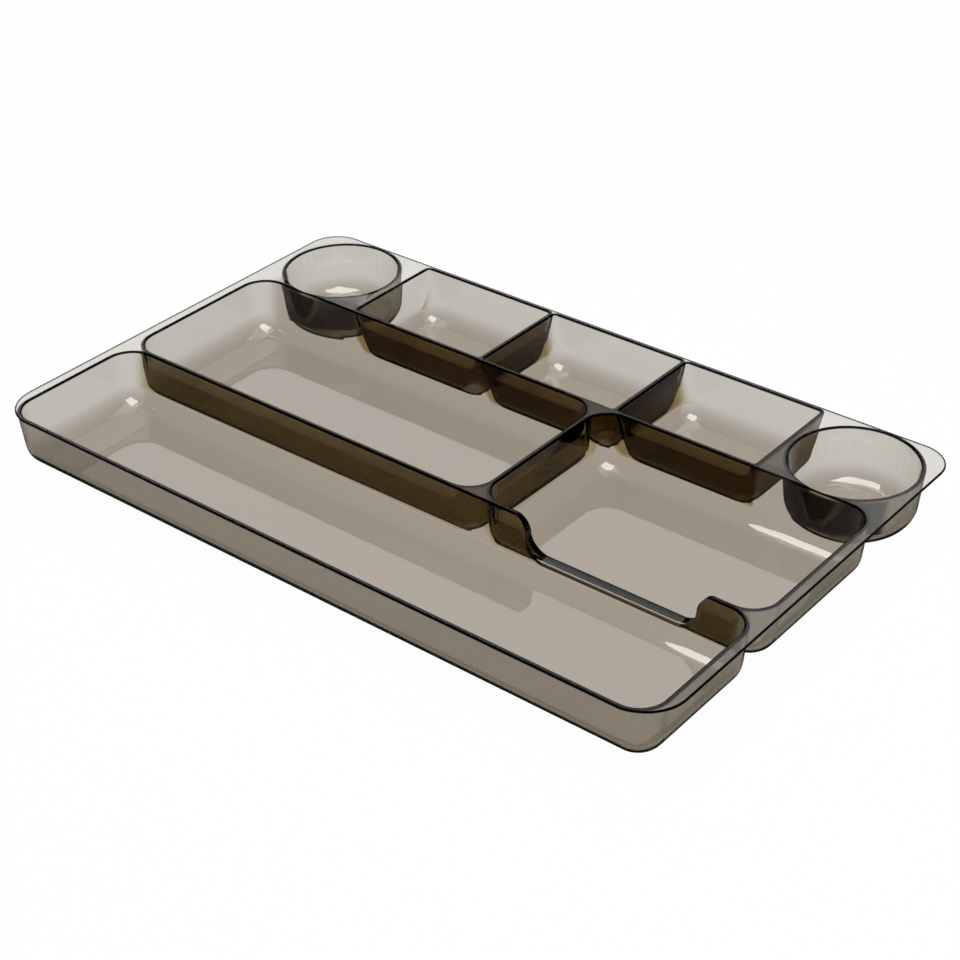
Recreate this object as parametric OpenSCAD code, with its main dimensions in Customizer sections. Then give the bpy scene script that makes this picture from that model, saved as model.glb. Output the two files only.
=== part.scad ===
// Drawer organizer tray, moulded in one piece: a thin flat flange with eight open pockets
// hanging from it. Sizes are in mm, +Z is up, and the origin is at the middle of the underside.
// The long trough is at the front (-Y), two wide pockets are in the middle, and a row of cup,
// three cells and cup is at the back (+Y). Every pocket is a shell of even wall that leans
// inward toward its floor, so that the moulding leaves its tool and trays stack.

/* [Tray] */
// Length of the flange, left to right
tray_l = 356; // [350:1:364]
// Width of the flange, front to back
tray_w = 221; // [219:1:225]
// Height from the underside of the floors to the top of the flange
tray_h = 27; // [26:0.5:30]
// Radius of the flange's two front corners
flange_front_r = 19; // [16:0.5:19]
// Radius of the flange's two back corners
flange_back_r = 15.5; // [13:0.5:17]

/* [Walls] */
// Thickness of every pocket's wall
wall_t = 2; // [1.8:0.1:2.1]
// Thickness of every pocket's floor
floor_t = 2; // [1.8:0.1:2.4]
// Thickness of the flange plate
flange_t = 1.2; // [1:0.1:1.4]
// Lean of each wall inward toward the floor, in degrees
draft = 5.5; // [4.5:0.5:6]
// Radius rolled along the top edge of every pocket
rim_round = 1.1; // [0.8:0.1:1.1]

/* [Pockets] */
// Flange left outside the pockets at the two ends
end_margin = 6.25; // [6:0.25:8]
// Flange left in front of the trough
front_margin = 2.35; // [2.1:0.05:3]
// Flange left behind the back row
back_margin = 2.65; // [2.6:0.05:3]
// Width of the rim that two pockets share, from mouth to mouth
rim_w = 2.6; // [2.4:0.1:3]
// Front to back size of the trough's mouth
trough_w = 71.85; // [68:0.25:74]
// Front to back size of the back cells' mouths
cell_w = 53.35; // [53:0.05:55]
// Length of the left middle pocket's mouth
mid_left_l = 204.2; // [198:0.1:208]
// Corner radius of the trough and the middle pockets, at the mouth
pocket_r = 12; // [12:0.5:14]
// Radius between wall and floor inside the trough, middle pockets and cells
floor_r = 9; // [8:0.5:9.5]

/* [Cells] */
// Distance from the tray's left end to the first cell's mouth
cell_start = 66.35; // [65.5:0.05:68]
// Length of the left cell's mouth
cell_1_l = 75.15; // [73:0.05:76]
// Length of the middle cell's mouth
cell_2_l = 73.2; // [71:0.05:74]
// Length of the right cell's mouth
cell_3_l = 70.65; // [69:0.05:71.5]
// Corner radius of a cell at its mouth, which grows to the floor radius below
cell_r = 1.2; // [1:0.1:2]

/* [Cups] */
// Radius of each round cup's mouth
cup_r = 27.8; // [27:0.1:27.8]
// Distance from the tray's end to a cup's centre
cup_x = 33; // [32:0.25:34]
// Flange left behind a cup's mouth
cup_margin = 2.05; // [2.05:0.05:2.15]
// Radius between wall and floor inside a cup
cup_floor_r = 8.5; // [7:0.5:12]

/* [Scoop] */
// Length of the low part of the wall between the trough and the right middle pocket
scoop_l = 83.6; // [70:0.1:90]
// Depth of the scoop below the top of the flange
scoop_depth = 17.6; // [16:0.1:18]
// Radius at the foot of the scoop's ends
scoop_low_r = 9; // [7:0.5:9]
// Radius where the scoop's ends run out into the rim
scoop_top_r = 8; // [6:0.5:8]

/* [Hidden] */
$fn = 48;
// How far a cutting tool runs past the surface that it cuts
over = 1;
// Facets round the balls that form a cell's corners
cell_facets = 32;
// Height of the discs that set a cell's outline at the mouth
skin = 0.01;
// How far the lining of the scoop reaches into the walls at its sides
lining_bite = 1;
// Half sizes of the flange, and the height of its middle, where its edge reaches out furthest
half_l = tray_l / 2;
half_w = tray_w / 2;
flange_z = tray_h - flange_t / 2;
// Ends of the two long pockets' mouths
mouth_x = half_l - end_margin;
// Lines of the mouths, from front to back
trough_y0 = -half_w + front_margin;
trough_y1 = trough_y0 + trough_w;
cell_y1 = half_w - back_margin;
cell_y0 = cell_y1 - cell_w;
mid_y0 = trough_y1 + rim_w;
mid_y1 = cell_y0 - rim_w;
// Line between the two middle pockets
mid_x = -mouth_x + mid_left_l;
// Long pockets, each as left, right, front and back of its mouth
TROUGH = [-mouth_x, mouth_x, trough_y0, trough_y1];
MID_LEFT = [-mouth_x, mid_x, mid_y0, mid_y1];
MID_RIGHT = [mid_x + rim_w, mouth_x, mid_y0, mid_y1];
POCKETS = [TROUGH, MID_LEFT, MID_RIGHT];
// Cells of the back row, in the same form
cell_1_x = -half_l + cell_start;
cell_2_x = cell_1_x + cell_1_l + rim_w;
cell_3_x = cell_2_x + cell_2_l + rim_w;
CELLS = [
    [cell_1_x, cell_1_x + cell_1_l, cell_y0, cell_y1],
    [cell_2_x, cell_2_x + cell_2_l, cell_y0, cell_y1],
    [cell_3_x, cell_3_x + cell_3_l, cell_y0, cell_y1],
];
// Centres of the two cups
cup_y = half_w - cup_margin - cup_r;
CUPS = [for (side = [-1, 1]) [side * (half_l - cup_x), cup_y]];
// Lean of the walls as a slope, and what a square step of the wall adds across it
lean = tan(draft);
wall_step = wall_t / cos(draft);
// How far the roll of a rim is set over the wall, so that the two meet on a clean line
rim_tuck = 0.02;
// Middle of the wall that the scoop cuts
scoop_y = (trough_y1 + mid_y0) / 2;
scoop_x = (MID_RIGHT[0] + MID_RIGHT[1]) / 2;

// Distance from a corner's centre line to the centre of its floor fillet
function fillet_x(mouth, fillet, depth) =
    mouth - lean * (depth - fillet) - fillet / cos(draft);

// Four corners of a rectangle, moved inward by the same distance on all sides
function corners(box, inset) = [
    for (x = [box[0] + inset, box[1] - inset], y = [box[2] + inset, box[3] - inset]) [x, y]
];

// Section of a pocket's form, from a centre line at x = 0 out to its leaning wall,
// with a rolled foot of the given fillet, its floor at z0 and its top at z1
module wall_section(mouth, fillet, z0, z1) {
    depth = tray_h - z0;
    fx = fillet_x(mouth, fillet, depth);
    intersection() {
        union() {
            polygon([
                [0, z0],
                [fx, z0],
                [fx + fillet * cos(draft), z0 + fillet - fillet * sin(draft)],
                [mouth, tray_h],
                [0, tray_h],
            ]);
            translate([fx, z0 + fillet])
                circle(fillet);
        }
        translate([0, z0])
            square([mouth, z1 - z0]);
    }
}

// Section of the rolled top edge, to be cut away with a pocket of the given mouth
module rim_section(mouth) {
    edge = mouth + rim_round * (1 / cos(draft) - lean) - rim_tuck;
    foot = tray_h - rim_round * (1 - sin(draft));
    difference() {
        translate([0, foot])
            square([edge, tray_h - foot + over]);
        translate([edge, tray_h - rim_round])
            circle(rim_round);
    }
}

// Carries a section round a rectangle, with its corners' centre lines inset by r
module around(box, r) {
    size = [box[1] - box[0] - 2 * r, box[3] - box[2] - 2 * r];
    translate([(box[0] + box[1]) / 2, (box[2] + box[3]) / 2])
        for (turn = [0:3]) {
            run = turn % 2 == 0 ? size : [size[1], size[0]];
            rotate(90 * turn)
                translate([run[0] / 2, run[1] / 2]) {
                    rotate_extrude(angle = 90)
                        children();
                    rotate([90, 0, 0])
                        linear_extrude(run[1])
                            children();
                }
        }
}

// Fills the middle of a rectangle, inside its corners' centre lines
module middle(box, r, z0, z1) {
    translate([box[0] + r, box[2] + r, z0])
        cube([box[1] - box[0] - 2 * r, box[3] - box[2] - 2 * r, z1 - z0]);
}

// Outside of a long pocket
module pocket_outside(box) {
    around(box, pocket_r)
        wall_section(pocket_r + wall_step, floor_r + wall_t, 0, flange_z);
    middle(box, pocket_r, 0, flange_z);
}

// Inside of a long pocket, with the roll of its rim
module pocket_inside(box) {
    around(box, pocket_r) {
        wall_section(pocket_r, floor_r, floor_t, tray_h);
        rim_section(pocket_r);
    }
    middle(box, pocket_r, floor_t, tray_h + over);
}

// Quarter of a ball's outline, which turned gives a ball with true poles
module ball(r) {
    rotate_extrude()
        intersection() {
            circle(r);
            translate([0, -r])
                square(2 * r);
        }
}

// Form of a cell: four balls at the floor drawn up to four small corners at z1
module cell_form(box, corner, fillet, z0, z1) {
    foot_inset = lean * (tray_h - z0 - fillet) + fillet / cos(draft);
    top_inset = lean * (tray_h - z1) + corner;
    hull() {
        for (place = corners(box, foot_inset))
            translate([each place, z0 + fillet])
                ball(fillet, $fn = cell_facets);
        for (place = corners(box, top_inset))
            translate([each place, z1 - skin])
                cylinder(h = skin, r = corner, $fn = cell_facets);
    }
}

// Outside of a cell, a wall's thickness larger all round
module cell_outside(box) {
    out = [-1, 1, -1, 1] * wall_step;
    cell_form(box + out, cell_r + wall_t, floor_r + wall_t, 0, flange_z);
}

// Inside of a cell, with the roll of its rim
module cell_inside(box) {
    cell_form(box, cell_r, floor_r, floor_t, tray_h);
    around(box, cell_r)
        rim_section(cell_r);
    middle(box, cell_r, tray_h - over, tray_h + over);
}

// Outside of a cup at the origin
module cup_outside() {
    rotate_extrude()
        wall_section(cup_r + wall_step, cup_floor_r + wall_t, 0, flange_z);
}

// Inside of a cup at the origin, with the roll of its rim
module cup_inside() {
    rotate_extrude() {
        wall_section(cup_r, cup_floor_r, floor_t, tray_h);
        rim_section(cup_r);
    }
}

// Section of the flange, from a centre line at x = 0 out to a full round along its edge
module flange_section(reach) {
    round_r = flange_t / 2;
    translate([0, tray_h - flange_t])
        square([reach - round_r, flange_t]);
    translate([reach - round_r, flange_z])
        circle(round_r);
}

// One corner of the flange, and the straight edge that runs up to it
module flange_corner(centre, turn, r, run) {
    translate(centre)
        rotate(90 * turn) {
            rotate_extrude(angle = 90)
                flange_section(r);
            rotate([90, 0, 0])
                linear_extrude(run)
                    flange_section(r);
        }
}

// Flange plate, with wider corners at the front than at the back
module flange() {
    front_x = half_l - flange_front_r;
    front_y = half_w - flange_front_r;
    back_x = half_l - flange_back_r;
    back_y = half_w - flange_back_r;
    flange_corner([back_x, back_y], 0, flange_back_r, back_y + front_y);
    flange_corner([-back_x, back_y], 1, flange_back_r, 2 * back_x);
    flange_corner([-front_x, -front_y], 2, flange_front_r, front_y + back_y);
    flange_corner([front_x, -front_y], 3, flange_front_r, 2 * front_x);
    translate([-front_x, -front_y, tray_h - flange_t])
        cube([front_x + back_x, front_y + back_y, flange_t]);
}

// Outline of the scoop seen from the front, grown outward at its foot and ends
module scoop_outline(grow) {
    half = scoop_l / 2 + grow;
    foot = tray_h - scoop_depth - grow;
    low = scoop_low_r + grow;
    for (side = [0, 1])
        mirror([side, 0]) {
            translate([half - low, foot + low])
                circle(low);
            translate([0, foot])
                square([half - low, low]);
            translate([0, foot + low])
                square([half, scoop_depth - scoop_low_r + over]);
            difference() {
                translate([half, tray_h - scoop_top_r])
                    square([scoop_top_r, scoop_top_r + over]);
                translate([half + scoop_top_r, tray_h - scoop_top_r])
                    circle(scoop_top_r);
            }
        }
}

// The scoop's outline as a bar across the wall that it cuts
module scoop_bar(grow, width) {
    translate([scoop_x, scoop_y, 0])
        rotate([90, 0, 0])
            linear_extrude(width, center = true)
                scoop_outline(grow);
}

// Lining that closes the space between the two walls under the scoop
module scoop_lining() {
    gap = rim_w + 2 * lean * (scoop_depth + wall_t) - 2 * wall_step;
    intersection() {
        scoop_bar(wall_t, gap + 2 * lining_bite);
        translate([0, 0, tray_h / 2])
            cube([tray_l, tray_w, tray_h], center = true);
    }
}

module tray() {
    color([0.3, 0.27, 0.24, 0.5])
        difference() {
            union() {
                flange();
                for (box = POCKETS)
                    pocket_outside(box);
                for (box = CELLS)
                    cell_outside(box);
                for (place = CUPS)
                    translate(place)
                        cup_outside();
                scoop_lining();
            }
            for (box = POCKETS)
                pocket_inside(box);
            for (box = CELLS)
                cell_inside(box);
            for (place = CUPS)
                translate(place)
                    cup_inside();
            scoop_bar(0, rim_w + 2 * lean * tray_h);
        }
}

tray();
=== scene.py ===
"""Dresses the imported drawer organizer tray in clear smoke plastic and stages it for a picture."""

import logging
import math
from dataclasses import dataclass, field
from enum import Enum
from functools import reduce
from typing import Any

import bpy
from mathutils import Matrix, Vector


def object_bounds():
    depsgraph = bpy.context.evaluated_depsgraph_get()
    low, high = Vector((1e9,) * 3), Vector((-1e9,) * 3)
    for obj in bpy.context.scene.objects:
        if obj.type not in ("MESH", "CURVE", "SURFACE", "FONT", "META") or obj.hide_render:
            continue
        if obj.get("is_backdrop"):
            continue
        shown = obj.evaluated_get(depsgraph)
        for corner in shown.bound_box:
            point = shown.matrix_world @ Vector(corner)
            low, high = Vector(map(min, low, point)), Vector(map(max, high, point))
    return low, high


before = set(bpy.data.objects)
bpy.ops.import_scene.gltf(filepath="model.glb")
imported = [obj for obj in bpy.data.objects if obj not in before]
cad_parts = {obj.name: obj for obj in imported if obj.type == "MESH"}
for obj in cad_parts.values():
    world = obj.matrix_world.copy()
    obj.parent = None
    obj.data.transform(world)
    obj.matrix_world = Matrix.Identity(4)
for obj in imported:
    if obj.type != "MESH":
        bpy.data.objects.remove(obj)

log = logging.getLogger("tray")

# Node of the CAD model
TRAY_NODE = "tray"

Colour = tuple[float, float, float]
Span = tuple[float, float]
Socket = bpy.types.NodeSocket

WHITE: Colour = (1.0, 1.0, 1.0)


class Ray(Enum):
    """Kinds of ray that a surface can tell apart, by their Light Path outputs."""

    CAMERA = "Is Camera Ray"
    GLOSSY = "Is Glossy Ray"
    TRANSMISSION = "Is Transmission Ray"


class Step(Enum):
    """Steps of arithmetic that a Math node can do."""

    ABSOLUTE = "ABSOLUTE"
    ADD = "ADD"
    MAXIMUM = "MAXIMUM"
    MINIMUM = "MINIMUM"
    MULTIPLY = "MULTIPLY"
    POWER = "POWER"
    ROOT = "SQRT"
    SUBTRACT = "SUBTRACT"


# Node trees


@dataclass(frozen=True)
class Wiring:
    """Adds nodes to one node tree and joins them.

    Attributes:
        tree: The tree that gets the nodes.
    """

    tree: bpy.types.NodeTree

    def feed(self, target: Socket, value: Any) -> None:
        """Links a socket to an input, or sets the input to a plain value.

        Args:
            target: The input.
            value: A socket, or a value of the input's own kind, or a colour.
        """
        if isinstance(value, Socket):
            self.tree.links.new(value, target)
        elif target.type == "RGBA":
            target.default_value = (*value, 1.0)
        else:
            target.default_value = value

    def add(self, kind: str, **sockets: Any) -> bpy.types.Node:
        """Adds a node and feeds some of its inputs.

        Args:
            kind: The node's Blender type name.
            sockets: What feeds each input, by its name with spaces written as underscores.

        Returns:
            The new node.
        """
        node = self.tree.nodes.new(kind)
        for name, value in sockets.items():
            self.feed(node.inputs[name.replace("_", " ")], value)
        return node

    def compute(self, step: Step, first: Socket, second: Socket | float = 0.0) -> Socket:
        """Combines two values by one step of arithmetic.

        Args:
            step: What is done.
            first: The first value.
            second: The second value, which a step on one value leaves unread.

        Returns:
            The socket with the result.
        """
        node = self.add("ShaderNodeMath")
        node.operation = step.value
        self.feed(node.inputs[0], first)
        self.feed(node.inputs[1], second)
        return node.outputs[0]

    def distance(self, value: Socket, middle: float) -> Socket:
        """Measures how far a value is from a number, on either side of it."""
        return self.compute(Step.ABSOLUTE, self.compute(Step.SUBTRACT, value, middle))

    def both(self, *masks: Socket) -> Socket:
        """Joins masks into one that is full only where all of them are."""
        return reduce(lambda first, second: self.compute(Step.MULTIPLY, first, second), masks)

    def either(self, *masks: Socket) -> Socket:
        """Joins masks into one that is full where any of them is."""
        return reduce(lambda first, second: self.compute(Step.MAXIMUM, first, second), masks)

    def fade(self, value: Socket, span: Span, start: float = 0.0, end: float = 1.0) -> Socket:
        """Fades smoothly from one number to another as a value passes a span.

        Args:
            value: The value that drives the fade.
            span: Where the fade starts and where it ends.
            start: Result before the span.
            end: Result past the span.

        Returns:
            The socket with the result.
        """
        node = self.add(
            "ShaderNodeMapRange",
            Value=value,
            From_Min=span[0],
            From_Max=span[1],
            To_Min=start,
            To_Max=end,
        )
        node.interpolation_type = "SMOOTHSTEP"
        return node.outputs["Result"]

    def choose(self, mask: Socket, outside: float, inside: float) -> Socket:
        """Gives one number outside a mask and another inside it."""
        return self.fade(mask, (0.0, 1.0), outside, inside)

    def blend(self, mask: Socket, outside: Socket | Colour, inside: Colour) -> Socket:
        """Gives one colour outside a mask and another inside it.

        Args:
            mask: The mask.
            outside: The colour outside, or the socket that gives it.
            inside: The colour inside.

        Returns:
            The socket with the colour.
        """
        node = self.add("ShaderNodeMix")
        node.data_type = "RGBA"
        inputs = {socket.identifier: socket for socket in node.inputs}
        self.feed(inputs["Factor_Float"], mask)
        self.feed(inputs["A_Color"], outside)
        self.feed(inputs["B_Color"], inside)
        return next(o for o in node.outputs if o.identifier == "Result_Color")


# Places on the shell


@dataclass(frozen=True)
class Place:
    """Sockets that say where a point of the tray lies and how its surface is turned.

    Attributes:
        wiring: The tree that the sockets are in.
        point: The point itself, as a vector.
        right: How far right of the middle it is, less than 0 on the left.
        back: How far behind the middle it is, less than 0 in front.
        height: How high it is.
        out: Its distance from the middle along the length and across, on either side.
        tilt: 1 where the plastic faces up, 0 where it stands upright, -1 where it faces down.
        crosswise: 1 where the plastic faces the front or the back, and 0 where it faces a side.
    """

    wiring: Wiring
    point: Socket
    right: Socket
    back: Socket
    height: Socket
    out: tuple[Socket, Socket]
    tilt: Socket
    crosswise: Socket

    @classmethod
    def read(cls, wiring: Wiring) -> "Place":
        """Adds the nodes that read a point's place.

        Args:
            wiring: The material's tree.

        Returns:
            The place.
        """
        point = wiring.add("ShaderNodeTexCoord").outputs["Object"]
        right, back, height = wiring.add("ShaderNodeSeparateXYZ", Vector=point).outputs
        shape = wiring.add("ShaderNodeNewGeometry")
        turned = wiring.add("ShaderNodeSeparateXYZ", Vector=shape.outputs["Normal"])
        # Blender turns the normal towards the ray, so where a ray leaves it is turned back
        way = wiring.choose(shape.outputs["Backfacing"], 1.0, -1.0)
        return cls(
            wiring=wiring,
            point=point,
            right=right,
            back=back,
            height=height,
            out=(wiring.compute(Step.ABSOLUTE, right), wiring.compute(Step.ABSOLUTE, back)),
            tilt=wiring.compute(Step.MULTIPLY, turned.outputs["Z"], way),
            crosswise=wiring.compute(Step.ABSOLUTE, turned.outputs["Y"]),
        )


@dataclass(frozen=True)
class ShellZones:
    """Finds the parts of the shell that get painted shade or less gloss, by their place on the tray.

    Lengths are in metres, and a span is where a zone fades in or out. Every zone is a socket that
    is 1 inside it and 0 outside.
    """

    # Flange: half its length and width, its front and back corners, and the line at its edge, which
    # gets near-black painted shade
    half: tuple[float, float] = (0.178, 0.1105)
    corner_r: tuple[float, float] = (0.019, 0.0155)
    halfway_y: Span = (-0.001, 0.001)
    edge_line: Span = (0.0009, 0.0006)
    edge_z: Span = (0.0254, 0.0258)

    # Rolled rims, which get near-black painted shade
    rim_z: Span = (0.0260, 0.0264)
    rim_tilt: Span = (0.97, 0.999)

    # Walls between pockets, which get painted shade: where the outer walls, the row of cells and the
    # cups end them
    reach: tuple[float, float] = (0.160, 0.098)
    reach_fade: float = 0.008
    cells_x: tuple[float, float] = (-0.1100, 0.1145)
    wall_z: Span = (0.0080, 0.0086)
    row_y: Span = (0.040, 0.050)
    behind_y: float = 0.045
    foot_behind_y: float = 0.0575
    floor_z: Span = (0.0015, 0.0115)
    step: float = 0.001

    # Ends of the lengthwise walls, where their foot rises to the corner of a pocket
    middle_gap_x: float = 0.0370
    back_gaps_x: tuple[float, ...] = (-0.1130, -0.0352)
    gap_reach: Span = (0.0020, 0.0100)
    gap_lift: float = 0.0060
    gap_facing: Span = (0.3, 0.6)

    # Front half of the round cups, which gets near-black painted shade
    cup_centre: tuple[float, float] = (0.145, 0.08065)
    cup_rim: Span = (0.0299, 0.0304)
    cup_front: Span = (0.064, 0.067)
    flange_z: Span = (0.0245, 0.0252)

    # Lining of the finger scoop: its middle, its length, and its edges, which get near-black painted
    # shade
    lining_middle: tuple[float, float] = (0.1034, -0.0351)
    lining_reach: Span = (0.0380, 0.0400)
    lining_core: Span = (0.0019, 0.0023)
    lining_half: Span = (0.0040, 0.0045)
    lining_z: Span = (0.0090, 0.0093)
    lining_top_z: Span = (0.0096, 0.0100)
    lining_tilt: Span = (0.25, 0.35)
    lining_flat: Span = (0.50, 0.70)

    # Level tops
    level_tilt: Span = (0.90, 0.96)

    # Outlines, where the surface turns away from the eye and gets near-black painted shade
    grazing: Span = (0.76, 0.90)
    low_grazing: Span = (0.50, 0.64)
    low_z: Span = (0.008, 0.010)
    low_tilt: Span = (-0.30, -0.15)

    def inner(self, place: Place, behind_y: float) -> Socket:
        """Finds the inside of the tray, away from its outer walls and its round cups.

        Args:
            place: A point's place.
            behind_y: How far back the inside ends beside the row of cells.

        Returns:
            The zone.
        """
        wiring = place.wiring
        left, right = self.cells_x
        beside = wiring.either(
            wiring.fade(place.right, (left, left + self.step), 1.0, 0.0),
            wiring.fade(place.right, (right, right + self.step)),
        )
        behind = wiring.fade(place.back, (behind_y, behind_y + self.step))
        within = (
            wiring.fade(out, (reach, reach + self.reach_fade), 1.0, 0.0)
            for out, reach in zip(place.out, self.reach)
        )
        return wiring.both(wiring.choose(wiring.both(beside, behind), 1.0, 0.0), *within)

    def foot_lift(self, place: Place) -> Socket:
        """Measures how far the foot of a lengthwise wall rises towards a pocket's corner.

        Args:
            place: A point's place.

        Returns:
            The rise in metres.
        """
        wiring = place.wiring
        nearest = wiring.distance(place.right, self.middle_gap_x)
        # In front, a metre is added to the back gaps, so that only the middle gap counts there
        front = wiring.fade(place.back, (0.0, self.step), 1.0, 0.0)
        for gap in self.back_gaps_x:
            away = wiring.compute(Step.ADD, wiring.distance(place.right, gap), front)
            nearest = wiring.compute(Step.MINIMUM, nearest, away)
        lift = wiring.fade(nearest, self.gap_reach, self.gap_lift, 0.0)
        return wiring.both(lift, wiring.fade(place.crosswise, self.gap_facing))

    def shaded_walls(self, place: Place) -> Socket:
        """Finds the walls between pockets, from above their foot to their rim, which get painted
        shade.

        Args:
            place: A point's place.

        Returns:
            The zone.
        """
        wiring = place.wiring
        height = wiring.compute(Step.SUBTRACT, place.height, self.foot_lift(place))
        lining = wiring.both(
            wiring.fade(place.height, self.lining_top_z, 1.0, 0.0),
            wiring.fade(place.tilt, self.lining_flat),
        )
        return wiring.both(
            self.inner(place, self.behind_y),
            wiring.fade(height, self.wall_z),
            wiring.choose(lining, 1.0, 0.0),
        )

    def row(self, place: Place) -> Socket:
        """Finds the back of the tray, with the row of cells, where the painted shade on the walls is
        heavier.
        """
        return place.wiring.fade(place.back, self.row_y)

    def foot_shadow_zone(self, place: Place) -> Socket:
        """Finds the floors, and all that stands inside the tray, where the painted shadow of the
        tray on the ground beneath is laid.

        Args:
            place: A point's place.

        Returns:
            The zone.
        """
        wiring = place.wiring
        floors = wiring.fade(place.height, self.floor_z, 1.0, 0.0)
        return wiring.either(floors, self.inner(place, self.foot_behind_y))

    def cups(self, place: Place) -> Socket:
        """Finds the front walls of the round cups, which get near-black painted shade.

        Args:
            place: A point's place.

        Returns:
            The zone.
        """
        wiring = place.wiring
        squares = (
            wiring.compute(Step.POWER, wiring.compute(Step.SUBTRACT, out, centre), 2.0)
            for out, centre in zip(place.out, self.cup_centre)
        )
        radius = wiring.compute(Step.ROOT, wiring.compute(Step.ADD, *squares))
        return wiring.both(
            wiring.fade(radius, self.cup_rim, 1.0, 0.0),
            wiring.fade(place.back, self.cup_front, 1.0, 0.0),
            wiring.fade(place.back, (self.behind_y, self.behind_y + self.step)),
            wiring.fade(place.height, self.wall_z),
            wiring.fade(place.height, self.flange_z, 1.0, 0.0),
        )

    def edges(self, place: Place) -> Socket:
        """Finds the rolled rims, the flange's edge and the edges of the scoop's lining, which get
        near-black painted shade.

        Args:
            place: A point's place.

        Returns:
            The zone.
        """
        wiring = place.wiring
        rims = wiring.both(
            wiring.fade(wiring.compute(Step.ABSOLUTE, place.tilt), self.rim_tilt, 1.0, 0.0),
            wiring.fade(place.height, self.rim_z),
        )
        line = wiring.both(
            wiring.fade(self.depth(place), self.edge_line),
            wiring.fade(place.height, self.edge_z),
        )
        return wiring.either(rims, line, self.lining_edges(place))

    def lining_edges(self, place: Place) -> Socket:
        """Finds the two long edges of the finger scoop's lining, which get near-black painted shade.

        Args:
            place: A point's place.

        Returns:
            The zone.
        """
        wiring = place.wiring
        along, across = (
            wiring.distance(value, middle)
            for value, middle in zip((place.right, place.back), self.lining_middle)
        )
        return wiring.both(
            wiring.fade(place.tilt, self.lining_tilt),
            wiring.fade(place.height, self.lining_z),
            wiring.fade(along, self.lining_reach, 1.0, 0.0),
            wiring.fade(across, self.lining_core),
            wiring.fade(across, self.lining_half, 1.0, 0.0),
        )

    def depth(self, place: Place) -> Socket:
        """Measures how far a point lies inside the flange's rounded outline.

        Args:
            place: A point's place.

        Returns:
            The distance in metres.
        """
        wiring = place.wiring
        radius = wiring.fade(place.back, self.halfway_y, *self.corner_r)
        past = [
            wiring.compute(Step.ADD, wiring.compute(Step.SUBTRACT, out, half), radius)
            for out, half in zip(place.out, self.half)
        ]
        squares = (
            wiring.compute(Step.POWER, wiring.compute(Step.MAXIMUM, side, 0.0), 2.0) for side in past
        )
        corner = wiring.compute(Step.ROOT, wiring.compute(Step.ADD, *squares))
        straight = wiring.compute(Step.MINIMUM, wiring.compute(Step.MAXIMUM, *past), 0.0)
        return wiring.compute(Step.SUBTRACT, radius, wiring.compute(Step.ADD, corner, straight))

    def tops(self, place: Place) -> Socket:
        """Finds the level tops of the flange and of the scoop's lining.

        Args:
            place: A point's place.

        Returns:
            The zone.
        """
        wiring = place.wiring
        return wiring.both(
            wiring.fade(place.tilt, self.level_tilt),
            wiring.fade(place.height, self.lining_z),
        )

    def outlines(self, place: Place) -> Socket:
        """Finds what turns away from the eye, and does so sooner on the rounds at the foot, for a
        near-black painted shade.

        Args:
            place: A point's place.

        Returns:
            The zone.
        """
        wiring = place.wiring
        facing = wiring.add("ShaderNodeLayerWeight", Blend=0.5).outputs["Facing"]
        low = wiring.both(
            wiring.fade(facing, self.low_grazing),
            wiring.fade(place.height, self.low_z, 1.0, 0.0),
            wiring.fade(place.tilt, self.low_tilt, 1.0, 0.0),
        )
        return wiring.either(wiring.fade(facing, self.grazing), low)


# Finishes


def empty_material(name: str) -> tuple[bpy.types.Material, Wiring, bpy.types.Node]:
    """Makes a material with nothing in it but an output.

    Args:
        name: Name of the material.

    Returns:
        The material, the wiring of its tree, and the output node.
    """
    material = bpy.data.materials.new(name)
    material.use_nodes = True
    material.node_tree.nodes.clear()
    wiring = Wiring(material.node_tree)
    return material, wiring, wiring.add("ShaderNodeOutputMaterial")


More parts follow.
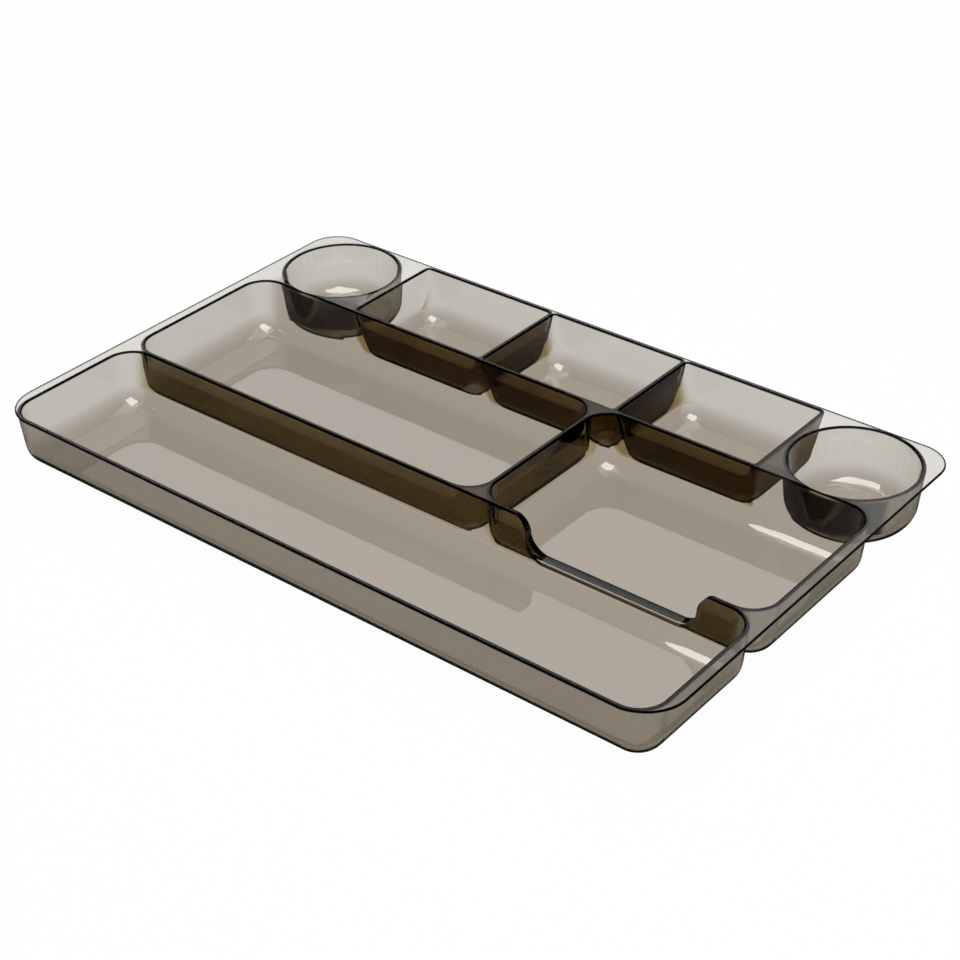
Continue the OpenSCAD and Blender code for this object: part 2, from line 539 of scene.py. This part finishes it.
@dataclass(frozen=True)
class SmokePlastic:
    """Clear plastic with a brown smoke tint, glossy as it leaves the mould.

    The sheet absorbs light inside. Painted shade lies on its surfaces as a second tint: a light
    painted shadow on the floors and the foot of the walls, heavier painted shade on the walls
    between pockets and on the fronts of the cups, and near-black painted shade on rolled edges and
    outlines.
    """

    name: str = "smoke_plastic"
    zones: ShellZones = field(default_factory=ShellZones)
    ior: float = 1.57

    # Absorption inside the sheet
    tint: Colour = (0.34, 0.29, 0.17)
    density: float = 385.0

    # Painted shade laid on the surfaces as tints
    # Painted shadow of the tray on the ground beneath, seen through its floors and the foot of its
    # walls
    foot: Colour = (0.68, 0.62, 0.57)
    # Painted shade on the walls between pockets
    painted_wall_shade: Colour = (0.55, 0.465, 0.27)
    # Heavier painted shade on those walls at the back, by the row of cells
    painted_row_shade: Colour = (0.34, 0.25, 0.12)
    # Near-black painted shade on the front walls of the round cups
    painted_cup_shade: Colour = (0.03, 0.02, 0.01)
    # Near-black painted shade on rolled edges, the flange's edge line, the scoop lining's edges and
    # the outlines
    edge: Colour = (0.0004, 0.0004, 0.0005)

    # Haze of handling, and a soft sheen on the edges
    roughness: Span = (0.012, 0.05)
    haze: Span = (0.35, 0.75)
    haze_scale: float = 22.0
    haze_detail: float = 3.0
    edge_roughness: float = 0.25

    # Share of the mirror reflection that is left on level tops and on the walls with painted shade;
    # edges with near-black painted shade keep none, which deepens that painted shade
    top_gloss: float = 0.3
    wall_gloss: float = 0.2

    # Slight waviness of the moulded sheet
    ripple: float = 0.0004
    ripple_strength: float = 0.08
    ripple_scale: float = 55.0
    ripple_detail: float = 2.0

    def build(self) -> bpy.types.Material:
        """Makes the material.

        Returns:
            The finished material.
        """
        material, wiring, output = empty_material(self.name)
        place = Place.read(wiring)
        walls = self.zones.shaded_walls(place)
        cups = self.zones.cups(place)
        edges = self.zones.edges(place)
        shader = wiring.add(
            "ShaderNodeBsdfPrincipled",
            IOR=self.ior,
            Transmission_Weight=1.0,
            Base_Color=self.surface_tint(place, walls, cups, edges),
            Roughness=self.surface_roughness(place, edges),
            # Less mirror reflection on level tops, on the painted-shade walls and cups, and none on
            # the near-black painted edges
            Specular_Tint=wiring.both(
                wiring.choose(self.zones.tops(place), 1.0, self.top_gloss),
                wiring.choose(edges, 1.0, 0.0),
                wiring.choose(wiring.either(walls, cups), 1.0, self.wall_gloss),
            ),
            Normal=self.waviness(place),
        )
        absorb = wiring.add("ShaderNodeVolumeAbsorption", Color=self.tint, Density=self.density)
        wiring.feed(output.inputs["Surface"], shader.outputs["BSDF"])
        wiring.feed(output.inputs["Volume"], absorb.outputs["Volume"])
        return material

    def surface_tint(self, place: Place, walls: Socket, cups: Socket, edges: Socket) -> Socket:
        """Lays the painted shade tints over each other, from the palest to the darkest.

        Args:
            place: A point's place.
            walls: The walls between pockets.
            cups: The front walls of the cups.
            edges: The rolled edges.

        Returns:
            The socket with the colour.
        """
        wiring = place.wiring
        tinted: Socket | Colour = WHITE
        for shade, zone in (
            (self.foot, self.zones.foot_shadow_zone(place)),
            (self.painted_wall_shade, walls),
            (self.painted_row_shade, wiring.both(walls, self.zones.row(place))),
            (self.painted_cup_shade, cups),
            (self.edge, wiring.either(edges, self.zones.outlines(place))),
        ):
            tinted = wiring.blend(zone, tinted, shade)
        return tinted

    def surface_roughness(self, place: Place, edges: Socket) -> Socket:
        """Varies the roughness by a faint haze, and makes the edges softer.

        Args:
            place: A point's place.
            edges: The rolled edges.

        Returns:
            The socket with the roughness.
        """
        wiring = place.wiring
        noise = wiring.add(
            "ShaderNodeTexNoise",
            Vector=place.point,
            Scale=self.haze_scale,
            Detail=self.haze_detail,
        )
        return wiring.either(
            wiring.fade(noise.outputs["Fac"], self.haze, *self.roughness),
            wiring.choose(edges, 0.0, self.edge_roughness),
        )

    def waviness(self, place: Place) -> Socket:
        """Makes the sheet slightly wavy.

        Args:
            place: A point's place.

        Returns:
            The socket with the wavy normal.
        """
        wiring = place.wiring
        noise = wiring.add(
            "ShaderNodeTexNoise",
            Vector=place.point,
            Scale=self.ripple_scale,
            Detail=self.ripple_detail,
        )
        bump = wiring.add(
            "ShaderNodeBump",
            Strength=self.ripple_strength,
            Distance=self.ripple,
            Height=noise.outputs["Fac"],
        )
        return bump.outputs["Normal"]


@dataclass(frozen=True)
class PaleFloor:
    """Matt card that looks white to the camera and through the plastic, and keeps a shadow.

    The tray's gloss mirrors its white only away from the tray.
    """

    name: str = "pale_floor"
    colour: Colour = (0.12, 0.12, 0.12)
    roughness: float = 0.9
    share: float = 0.85
    white: float = 1.15
    clear: Span = (0.24, 0.36)

    def build(self) -> bpy.types.Material:
        """Makes the material.

        Returns:
            The finished material.
        """
        material, wiring, output = empty_material(self.name)
        card = wiring.add(
            "ShaderNodeBsdfPrincipled",
            Base_Color=self.colour,
            Roughness=self.roughness,
            Specular_IOR_Level=0.0,
        )
        glow = wiring.add("ShaderNodeEmission", Strength=self.white)
        path = wiring.add("ShaderNodeLightPath").outputs
        away = wiring.add("ShaderNodeVectorMath")
        away.operation = "LENGTH"
        wiring.feed(away.inputs[0], wiring.add("ShaderNodeTexCoord").outputs["Object"])
        # Close to the tray the gloss mirrors only the dark grey card: painted shade standing in for
        # the tray's shadow on the floor
        clear = wiring.fade(away.outputs["Value"], self.clear)
        seen = wiring.either(
            path[Ray.CAMERA.value],
            path[Ray.TRANSMISSION.value],
            wiring.both(path[Ray.GLOSSY.value], clear),
        )
        mix = wiring.add("ShaderNodeMixShader", Fac=wiring.compute(Step.MULTIPLY, seen, self.share))
        wiring.feed(mix.inputs[1], card.outputs["BSDF"])
        wiring.feed(mix.inputs[2], glow.outputs["Emission"])
        wiring.feed(output.inputs["Surface"], mix.outputs["Shader"])
        return material


# The tray


@dataclass
class TrayShell:
    """The one moulded piece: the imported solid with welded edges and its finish."""

    node: bpy.types.Object
    finish: SmokePlastic = field(default_factory=SmokePlastic)
    weld: float = 2e-6
    crease_deg: float = 35.0
    weight: int = 100

    def build(self) -> None:
        """Joins the solid's loose triangles and shades its curves smoothly."""
        group = bpy.data.node_groups.new("smooth_shell", "GeometryNodeTree")
        for way in ("INPUT", "OUTPUT"):
            group.interface.new_socket("Geometry", in_out=way, socket_type="NodeSocketGeometry")
        wiring = Wiring(group)
        start = wiring.add("NodeGroupInput")
        merge = wiring.add(
            "GeometryNodeMergeByDistance",
            Geometry=start.outputs[0],
            Distance=self.weld,
        )
        smooth = wiring.add("GeometryNodeSetShadeSmooth", Geometry=merge.outputs["Geometry"])
        angle = wiring.add("GeometryNodeInputMeshEdgeAngle")
        sharp = wiring.add("FunctionNodeCompare")
        sharp.data_type = "FLOAT"
        sharp.operation = "GREATER_THAN"
        wiring.feed(sharp.inputs["A"], angle.outputs["Unsigned Angle"])
        wiring.feed(sharp.inputs["B"], math.radians(self.crease_deg))
        crease = wiring.add(
            "GeometryNodeSetShadeSmooth",
            Geometry=smooth.outputs["Geometry"],
            Selection=sharp.outputs["Result"],
            Shade_Smooth=False,
        )
        crease.domain = "EDGE"
        end = wiring.add("NodeGroupOutput")
        wiring.feed(end.inputs[0], crease.outputs["Geometry"])
        shell = self.node.modifiers.new("smooth_shell", "NODES")
        shell.node_group = group
        normals = self.node.modifiers.new("even_normals", "WEIGHTED_NORMAL")
        normals.keep_sharp = True
        normals.weight = self.weight

    def dress(self) -> None:
        """Gives the shell its finish."""
        self.node.data.materials.clear()
        self.node.data.materials.append(self.finish.build())


# The picture


@dataclass(frozen=True)
class Softbox:
    """Rectangular lamp that hangs level over the tray and faces straight down."""

    centre: tuple[float, float, float] = (0.10, -0.05, 1.0)
    size: tuple[float, float] = (0.90, 0.66)
    radiance: float = 7.0

    def build(self) -> None:
        """Makes the lamp."""
        data = bpy.data.lights.new("softbox", "AREA")
        data.shape = "RECTANGLE"
        data.size, data.size_y = self.size
        data.energy = self.radiance * math.pi * self.size[0] * self.size[1]
        lamp = bpy.data.objects.new("softbox", data)
        lamp.location = self.centre
        bpy.context.scene.collection.objects.link(lamp)


@dataclass
class Studio:
    """Pale floor, a dim room with a white backdrop behind the tray, and one softbox."""

    floor_size: float = 12.0
    floor_z: float = -0.0003
    floor: PaleFloor = field(default_factory=PaleFloor)
    softbox: Softbox = field(default_factory=Softbox)

    # World: its two strengths, and the patch of it that is the backdrop
    backdrop: float = 1.3
    room: float = 0.012
    behind: tuple[float, float, float] = (-0.645, 0.764, 0.0)
    spread: Span = (0.58, 0.68)
    foot: Span = (0.40, 0.45)
    top: Span = (0.66, 0.72)

    def build(self) -> None:
        """Builds the floor, the lamp and the world."""
        bpy.ops.object.select_all(action="DESELECT")
        place = (0.0, 0.0, self.floor_z)
        bpy.ops.mesh.primitive_plane_add(size=self.floor_size, location=place)
        floor = bpy.context.object
        floor.name = "floor"
        floor.data.materials.append(self.floor.build())
        floor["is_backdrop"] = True
        self.softbox.build()
        self.build_world()

    def build_world(self) -> None:
        """Builds the room: dim all round, and white behind the tray up to a soft top edge."""
        world = bpy.data.worlds.new("studio")
        world.use_nodes = True
        bpy.context.scene.world = world
        wiring = Wiring(world.node_tree)
        way = wiring.add("ShaderNodeTexCoord").outputs["Generated"]
        height = wiring.add("ShaderNodeSeparateXYZ", Vector=way).outputs["Z"]
        facing = wiring.add("ShaderNodeVectorMath")
        facing.operation = "DOT_PRODUCT"
        wiring.feed(facing.inputs[0], way)
        wiring.feed(facing.inputs[1], self.behind)
        lit = wiring.both(
            wiring.fade(facing.outputs["Value"], self.spread),
            wiring.fade(height, self.top, 1.0, 0.0),
            wiring.fade(height, self.foot),
        )
        path = wiring.add("ShaderNodeLightPath").outputs
        strength = wiring.either(
            wiring.choose(lit, self.room, self.backdrop),
            path[Ray.CAMERA.value],
        )
        background = world.node_tree.nodes["Background"]
        wiring.feed(background.inputs["Color"], WHITE)
        wiring.feed(background.inputs["Strength"], strength)


@dataclass(frozen=True)
class PhotoCamera:
    """Camera that sees the tray as the photograph does."""

    location: tuple[float, float, float] = (0.48912, -0.57960, 0.49699)
    rotation_deg: tuple[float, float, float] = (56.865, 1.063, 39.019)
    lens: float = 77.502
    sensor: float = 36.0

    def build(self) -> None:
        """Makes the camera and sets it as the scene's."""
        data = bpy.data.cameras.new("photo_camera")
        data.lens = self.lens
        data.sensor_width = self.sensor
        camera = bpy.data.objects.new("photo_camera", data)
        camera.location = self.location
        camera.rotation_euler = [math.radians(angle) for angle in self.rotation_deg]
        bpy.context.scene.collection.objects.link(camera)
        bpy.context.scene.camera = camera


def main() -> None:
    """Builds the picture in order."""
    logging.basicConfig(level=logging.INFO, format="%(message)s")
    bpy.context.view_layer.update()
    shell = TrayShell(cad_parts[TRAY_NODE])
    shell.build()
    shell.dress()
    log.info("%s: dressed in %s", shell.node.name, shell.finish.name)
    studio = Studio()
    studio.build()
    log.info("studio: floor of %s m and one softbox", studio.floor_size)
    camera = PhotoCamera()
    camera.build()
    log.info("camera: lens of %s mm", camera.lens)
    bpy.context.scene.view_settings.view_transform = "Standard"
    visual_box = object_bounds()
    low, high = ([round(value, 4) for value in corner] for corner in visual_box)
    log.info("tray box %s to %s m", low, high)


if __name__ == "__main__":
    main()
